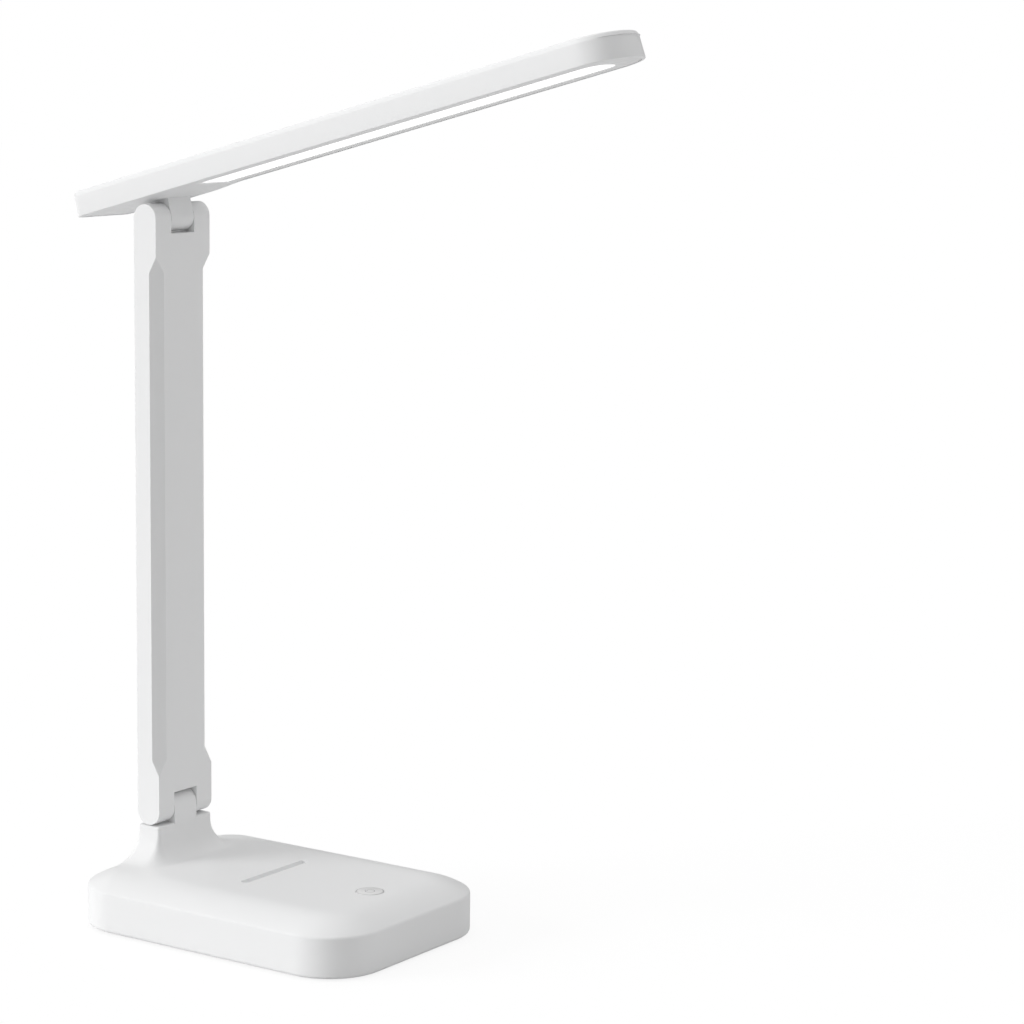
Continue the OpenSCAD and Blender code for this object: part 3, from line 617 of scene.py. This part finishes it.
band_z = bar_high - band_h
bar_shell = slab("bar_shell", 0, bar_low, band_z)
bpy.ops.object.mode_set(mode="EDIT")
nose_x = bar_front - nose_r
pick("VERT", lambda v: near(v.co.z, band_z) and v.co.x > nose_x + hair)
bpy.ops.transform.resize(value=(1 - nose_lean / nose_r, 1, 1), center_override=(nose_x, 0, band_z))
pick("FACE", lambda f: looks(f, 2))
bpy.ops.mesh.inset(thickness=band_inset, depth=band_h)
bpy.ops.object.mode_set(mode="OBJECT")
round_edges(bar_shell, bar_top_edge, 4, lambda e: at_height(e, bar_high))
round_edges(bar_shell, bar_edge, 4, lambda e: at_height(e, bar_low))
bpy.ops.object.mode_set(mode="EDIT")
pick("FACE", lambda f: looks(f, 2, -1) and near(f.calc_center_median().z, bar_low))
bpy.ops.mesh.inset(thickness=bar_wall - bar_edge, depth=0)
pull_up(bar_high - bar_low - bar_wall)
bpy.ops.object.mode_set(mode="OBJECT")
bpy.ops.object.shade_smooth_by_angle(angle=mould_angle)
bpy.ops.object.mode_set(mode="EDIT")
pick("EDGE", lambda e: at_height(e, band_z))
bpy.ops.mesh.mark_sharp()
bpy.ops.object.mode_set(mode="OBJECT")
hang(bar_shell)
dress(bar_shell, shell_white, "head", "shell", "head_top_shell")


# Lower frame: the moulded tray that holds the opal window. It swells down into the neck,
# whose tongue turns on the arm's upper pin, and a lip inside locates it in the shell.
frame_t, frame_gap, frame_edge = 1.8 * mm, 0.15 * mm, 0.25 * mm
lip_t, lip_h = 1.2 * mm, 3 * mm
frame_top = bar_low + frame_t
lower_frame = slab("lower_frame", bar_wall + frame_gap, bar_low, frame_top)
bpy.ops.object.mode_set(mode="EDIT")
pick("FACE", lambda f: looks(f, 2))
bpy.ops.mesh.inset(thickness=lip_t, depth=0)
pick("FACE", lambda f: looks(f, 2) and len(f.verts) == 4)
pull_up(lip_h)
bpy.ops.object.mode_set(mode="OBJECT")

# The neck's underside is flat over the arm, then rises in an S to the bar at each end. Its
# sides slant inwards to it.
neck_low, neck_slant, neck_steps = arm_half_t + 1.3 * mm, 5.5 * mm, 14
front_flare, rear_flare = (15 * mm, 31 * mm), (-8 * mm, -14 * mm)
neck = block("neck", (rear_flare[1], front_flare[1]), (-arm_half_w, arm_half_w),
             (neck_low, bar_low))
bpy.ops.object.mode_set(mode="EDIT")
for start, end in (front_flare, rear_flare):
    for step in range(neck_steps):
        bpy.ops.mesh.select_all(action="SELECT")
        plane_x = start + (end - start) * step / neck_steps
        bpy.ops.mesh.bisect(plane_co=(plane_x, 0, 0), plane_no=(1, 0, 0))
shape = bmesh.from_edit_mesh(neck.data)
for vert in shape.verts:
    if near(vert.co.z, neck_low):
        start, end = front_flare if vert.co.x > 0 else rear_flare
        rise = (1 - math.cos(math.pi * max(0, (vert.co.x - start) / (end - start)))) / 2
        vert.co.z += (bar_low - neck_low) * rise
        vert.co.y -= math.copysign(neck_slant * (1 - rise), vert.co.y)
bmesh.update_edit_mesh(neck.data)
bpy.ops.mesh.select_all(action="SELECT")
bpy.ops.mesh.remove_doubles(threshold=merge_gap)
bpy.ops.object.mode_set(mode="OBJECT")
weld(lower_frame, neck, tongue("bar_tongue", 0, 0, bar_low + mm))

window_rear, window_front, window_half_w, window_r = 27.4 * mm, 242 * mm, 10 * mm, 8 * mm
below_frame, above_frame = 3 * mm, 5 * mm
window = block("window", (window_rear, window_front), (-window_half_w, window_half_w),
               (bar_low - below_frame, frame_top + above_frame))
round_edges(window, window_r, 12, lambda e: along(e, 2) and near(middle(e).x, window_front))
cut(lower_frame, window, *tongue_cuts(0, 0, -reach, frame_top + mm))
board_rear, board_front = window_rear - 3.4 * mm, window_front + 3 * mm
board_z = frame_top + 3.1 * mm
post_r, post_y, post_sunk, post_sides = 1.55 * mm, 13.7 * mm, 0.5 * mm, 24
post_shares, screw_r = (0.08, 0.5, 0.92), 0.8 * mm
for share in post_shares:
    x = board_rear + share * (board_front - board_rear)
    for y in (-post_y, post_y):
        board_post = post("board_post", x, y, post_r, frame_top - post_sunk, board_z, post_sides)
        cut(board_post, post("hole", x, y, screw_r, frame_top, board_z + mm, post_sides))
        weld(lower_frame, board_post)
soften(lower_frame, frame_edge)
hang(lower_frame)
frame_white = moulded("frame_white", (0.84, 0.84, 0.84), (0.825, 0.83, 0.835), 0.45)
dress(lower_frame, frame_white, "head", "frame", "head_frame")


# Pieces that keep the shape they were made in: the window, the works inside, the fasteners
# and the rubber sole. Each gets its own finish.
def refinish(material, *names):
    for name in names:
        nodes[name].material_slots[0].material = material


def metal(name, light, dark, roughness, metallic=1.0):
    """Plated or blackened metal: a drift of tone, and fine marks in its gloss."""
    material, shader, place = new_finish(name, light, metallic=metallic)
    drift, fine = place.noise(60, 3), place.noise(1500)
    feed(shader, "Base Color", blend(drift, light, dark))
    feed(shader, "Roughness", roughness + (fine - 0.5) * 0.15)
    raise_by(shader, fine, 0.01 * mm)
    return material


refinish(shell_white, "base_bottom_cover")

# The window is opal and lit from behind.
opal, shader, place = new_finish("opal", (0.9, 0.9, 0.9), roughness=0.35, ior=1.49,
                                 emission_strength=0.76)
glow = place.noise(40, 1)
feed(shader, "Emission Color", blend(glow, (1.0, 0.995, 0.985), (0.985, 0.98, 0.97)))
refinish(opal, "diffuser")

# The sole is matt silicone.
rubber, shader, place = new_finish("sole_rubber", (0.55, 0.55, 0.54), roughness=0.8)
fine = place.noise(1800)
feed(shader, "Base Color", blend(fine, (0.56, 0.56, 0.55), (0.5, 0.5, 0.49)))
raise_by(shader, fine, 0.02 * mm)
refinish(rubber, "sole_pad")

# Screws, pins and washers are zinc-plated, and the weight is a blackened iron plate.
refinish(metal("bright_zinc", (0.64, 0.65, 0.67), (0.55, 0.56, 0.58), 0.32),
         "weight_screws", "board_screws", "touch_board_screws", "base_screws", "led_board_screws",
         "lower_hinge_pin", "upper_hinge_pin", "lower_friction_washers", "upper_friction_washers")
refinish(metal("black_iron", (0.09, 0.09, 0.095), (0.055, 0.055, 0.06), 0.55, 0.7), "counterweight")

# The cell has a blue sleeve that leaves its two ends bare.
blur, bare_end = 0.1 * mm, 1.3 * mm
bare_metal, sleeve_blue = (0.7, 0.7, 0.69), (0.05, 0.2, 0.45)
cell_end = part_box("battery_cell")[1].y
sleeve, shader, place = new_finish("cell_sleeve", sleeve_blue, roughness=0.3, coat_weight=0.3)
wrapped = abs(place.axis(1)).below(cell_end - bare_end, blur)
blue = blend(place.noise(30, 3), sleeve_blue, (0.045, 0.17, 0.4))
feed(shader, "Base Color", blend(wrapped, bare_metal, blue))
feed(shader, "Metallic", 1 - wrapped)
refinish(sleeve, "battery_cell")

# The cell's wires have red insulation.
red_wire, shader, place = new_finish("red_wire", (0.5, 0.03, 0.03), roughness=0.4, ior=1.5)
feed(shader, "Base Color", blend(place.noise(120), (0.52, 0.035, 0.03), (0.44, 0.025, 0.025)))
refinish(red_wire, "battery_leads")

# The boards are coated green, with copper tracks under the coat and bare tinned pads in it.
board_coat, over_track, tin = (0.02, 0.17, 0.08), (0.04, 0.27, 0.13), (0.68, 0.68, 0.66)
track_pitch, pad_pitch = 4 * mm, 3 * mm
board_green, shader, place = new_finish("board_green", board_coat, roughness=0.35,
                                        coat_weight=0.3)
tracks = place.node("TexBrick", {"offset": 0.37},
                    {"Vector": place, "Scale": 1 / track_pitch, "Mortar Size": 0.05}, out=1)
pads = place.node("TexVoronoi", {}, {"Vector": place, "Scale": 1 / pad_pitch}).below(0.12, 0.04)
coated = blend(tracks, board_coat, over_track)
feed(shader, "Base Color", blend(pads, coated, tin))
feed(shader, "Metallic", pads)
raise_by(shader, tracks, 0.03 * mm)
refinish(board_green, "main_board", "touch_board")
refinish(moulded("black_epoxy", (0.022, 0.022, 0.024), (0.03, 0.03, 0.032), 0.5),
         "board_components")

# The socket is a bright can around a black tongue.
port, shader, place = new_finish("port", bare_metal, roughness=0.3)
port_z = (port_low.z + port_high.z) / 2
port_tongue_half_t, port_tongue_half_w = 0.5 * mm, 3.6 * mm
inside = (abs(place.axis(2) - port_z).below(port_tongue_half_t, blur)
          * abs(place.axis(1)).below(port_tongue_half_w, blur))
feed(shader, "Base Color", blend(inside, bare_metal, (0.02, 0.02, 0.022)))
feed(shader, "Metallic", 1 - inside)
feed(shader, "Roughness", 0.3 + place.noise(900) * 0.1)
refinish(port, "usb_port")

# Behind the key stands a post of conductive foam in a woven jacket.
foam, shader, place = new_finish("foam", (0.12, 0.125, 0.13), roughness=0.85)
thread_pitch = 0.5 * mm
weave = place.axis(1).wave(thread_pitch) * place.axis(2).wave(thread_pitch)
feed(shader, "Base Color", blend(weave * 0.5 + 0.5, (0.15, 0.155, 0.16), (0.08, 0.085, 0.09)))
raise_by(shader, weave, 0.05 * mm)
refinish(foam, "touch_foam")

# The leads are flat and ribbed, with a conductor in each rib.
flat_lead, shader, place = new_finish("flat_lead", (0.78, 0.78, 0.78), roughness=0.45, ior=1.5)
rib_pitch = mm
ribs = place.axis(1).wave(rib_pitch) * 0.5 + 0.5
feed(shader, "Base Color", blend(ribs, (0.7, 0.7, 0.7), (0.8, 0.8, 0.79)))
raise_by(shader, ribs, 0.15 * mm)
refinish(flat_lead, "touch_lead", "base_lead", "arm_lead", "head_lead")

# The light board is coated white, with a track beside each row of chips. Each chip is a
# white case with yellow phosphor in the face that looks down at the window.
white_coat, coated_track = (0.8, 0.81, 0.81), (0.7, 0.66, 0.58)
track_y, track_half_w = 8 * mm, 0.6 * mm
board_white, shader, place = new_finish("board_white", white_coat, roughness=0.4,
                                        coat_weight=0.2)
beside_chips = abs(abs(place.axis(1)) - track_y).below(track_half_w, blur)
feed(shader, "Base Color", blend(beside_chips, white_coat, coated_track))
feed(shader, "Roughness", 0.35 + place.noise(700) * 0.1)
refinish(board_white, "led_board")

chip_case, chip_yellow, chip_t = (0.85, 0.85, 0.84), (0.9, 0.68, 0.2), 0.8 * mm
phosphor, shader, place = new_finish("phosphor", chip_case, roughness=0.4,
                                     emission_strength=0.4)
above_axis = ((place.axis(2) - upper_hinge.z) * math.cos(tilt)
              - (place.axis(0) - upper_hinge.x) * math.sin(tilt))
face = above_axis.below(board_z - chip_t + blur, blur)
feed(shader, "Base Color", blend(face, chip_case, chip_yellow))
feed(shader, "Emission Color", blend(face, (0, 0, 0), (1.0, 0.9, 0.7)))
refinish(phosphor, "led_chips")


# Floor and backdrop: pale and plain. Towards the camera they are white, and the floor
# keeps the lamp's soft shadow.
floor_size, floor_glow, glow_share = 12, 1.08, 0.8
bpy.ops.mesh.primitive_plane_add(size=floor_size)
floor = bpy.context.object
floor.name = "floor"
paper = bpy.data.materials.new("paper")
paper.use_nodes = True
paper_tree = paper.node_tree
paper_tree.nodes.remove(paper_tree.nodes["Principled BSDF"])
start = Wire(paper_tree)
seen = start.node("LightPath", {}, {}, out=0)
white = start.node("Emission", {}, {"Color": (1, 1, 1, 1), "Strength": floor_glow})
matt = start.node("BsdfDiffuse", {}, {"Color": (0.75, 0.75, 0.75, 1)})
surface = start.node("MixShader", {}, {0: seen * glow_share, 1: matt, 2: white})
paper_tree.links.new(surface.socket, paper_tree.nodes["Material Output"].inputs["Surface"])
floor.data.materials.append(paper)
floor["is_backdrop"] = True


# Studio light: a white room that lights the lamp from above, a broad low key light from its
# left and a faint one from its right. Both are hidden from reflections, so neither leaves a
# highlight. The camera sees the room as plain white.
overhead, light_spread = 1.08, math.radians(30)
lights = (("key_light", -135, 15, 2.08), ("fill_light", 45, 8, 0.43))
world = bpy.data.worlds.new("studio")
bpy.context.scene.world = world
world.use_nodes = True
room = Wire(world.node_tree)
from_camera = room.node("LightPath", {}, {}, out=0)
height = room.node("TexCoord", {}, {}, out=0).axis(2)
sky = height.maths("MAXIMUM", height, 0.0) * overhead
background = world.node_tree.nodes["Background"]
background.inputs["Color"].default_value = (1, 1, 1, 1)
world.node_tree.links.new((sky + from_camera * (1 - sky)).socket, background.inputs["Strength"])

for name, bearing, elevation, energy in lights:
    turns = [math.radians(angle) for angle in (90 - elevation, 0, bearing + 90)]
    bpy.ops.object.light_add(type="SUN", rotation=turns)
    light = bpy.context.object
    light.name = name
    light.data.energy = energy
    light.data.angle = light_spread
    light.visible_glossy = False

bpy.context.scene.view_settings.view_transform = "Standard"
[[list(point) for point in box] for box in (cad_box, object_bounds())]
